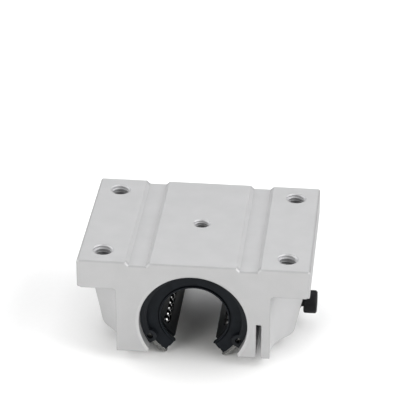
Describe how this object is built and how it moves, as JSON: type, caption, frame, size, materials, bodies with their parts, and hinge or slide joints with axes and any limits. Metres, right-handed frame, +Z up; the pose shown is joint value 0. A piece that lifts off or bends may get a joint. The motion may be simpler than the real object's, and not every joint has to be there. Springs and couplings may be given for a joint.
{
  "type": "open linear bearing block",
  "caption": "Flanged aluminium block around an open ball bearing that runs on a supported round shaft, with tapped corner holes and a side screw that sets the play.",
  "frame": {"origin": "on the shaft axis at mid-length of the block", "axes": "+Y along the shaft, +Z up to the mounting face, +X towards the side with the adjusting screw"},
  "size_m": [0.0691, 0.051, 0.0333],
  "materials": {
    "anodised_aluminium": "sand-blasted and clear anodised, satin",
    "bearing_steel": "ground, bright",
    "ball_steel": "polished",
    "black_resin": "moulded, satin black",
    "black_rubber": "moulded, matt black",
    "spring_steel": "phosphated, oiled black",
    "screw_steel": "black oxide"
  },
  "bodies": {
    "block": {"housing": "anodised_aluminium", "bearing_sleeve": "bearing_steel", "ball_retainer": "black_resin", "seal_front": "black_rubber", "seal_rear": "black_rubber", "stop_ring_front": "bearing_steel", "stop_ring_rear": "bearing_steel", "circlip_front": "spring_steel", "circlip_rear": "spring_steel", "ball_circuit_1": "ball_steel", "ball_circuit_2": "ball_steel", "ball_circuit_3": "ball_steel", "ball_circuit_4": "ball_steel"},
    "screw": {"adjusting_screw": "screw_steel"}
  },
  "joints": [
    {"name": "screw_turn", "type": "hinge", "parent": "block", "child": "screw", "pos_m": [0.03106, 0, -0.00525], "axis": [1, 0, 0], "range_deg": [-180, 720]}
  ]
}
